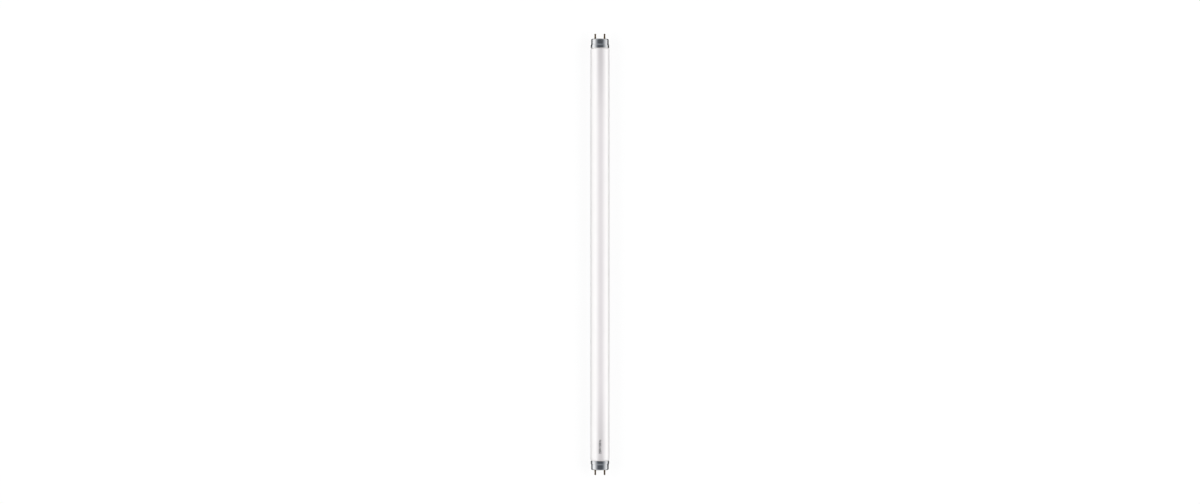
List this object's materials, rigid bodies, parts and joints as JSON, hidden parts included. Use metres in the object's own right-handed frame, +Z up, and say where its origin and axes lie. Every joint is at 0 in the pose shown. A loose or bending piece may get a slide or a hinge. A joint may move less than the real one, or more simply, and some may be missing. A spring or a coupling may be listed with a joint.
{
  "type": "tubular led lamp",
  "caption": "Straight opal tube lamp, two feet long, with an aluminium cap and a pair of contact pins on each end, that plugs into a tube lampholder.",
  "frame": {"origin": "on the surface that the lamp lies on, under the middle of the tube", "axes": "+X runs across the two pins of a cap, +Y along the tube towards the far cap, +Z up; the side that gives the light faces up"},
  "size_m": [0.026, 0.6032, 0.026],
  "materials": {
    "opal_glass": "glossy clear glass over an opal white inner coat",
    "drawn_aluminium": "bright drawn sheet with faint draw lines",
    "insulating_plastic": "moulded, satin",
    "cap_cement": "matt cured cement",
    "pin_brass": "tarnished, satin",
    "tinned_wire": "dull tinned copper"
  },
  "bodies": {
    "root": {"glass_tube": "opal_glass", "cap_shell_near": "drawn_aluminium", "cap_shell_far": "drawn_aluminium", "pin_plate_near": "insulating_plastic", "pin_plate_far": "insulating_plastic", "cement_ring_near": "cap_cement", "cement_ring_far": "cap_cement", "contact_pin_near_left": "pin_brass", "contact_pin_near_right": "pin_brass", "contact_pin_far_left": "pin_brass", "contact_pin_far_right": "pin_brass", "lead_wire_near_left": "tinned_wire", "lead_wire_near_right": "tinned_wire", "lead_wire_far_left": "tinned_wire", "lead_wire_far_right": "tinned_wire"}
  },
  "joints": []
}
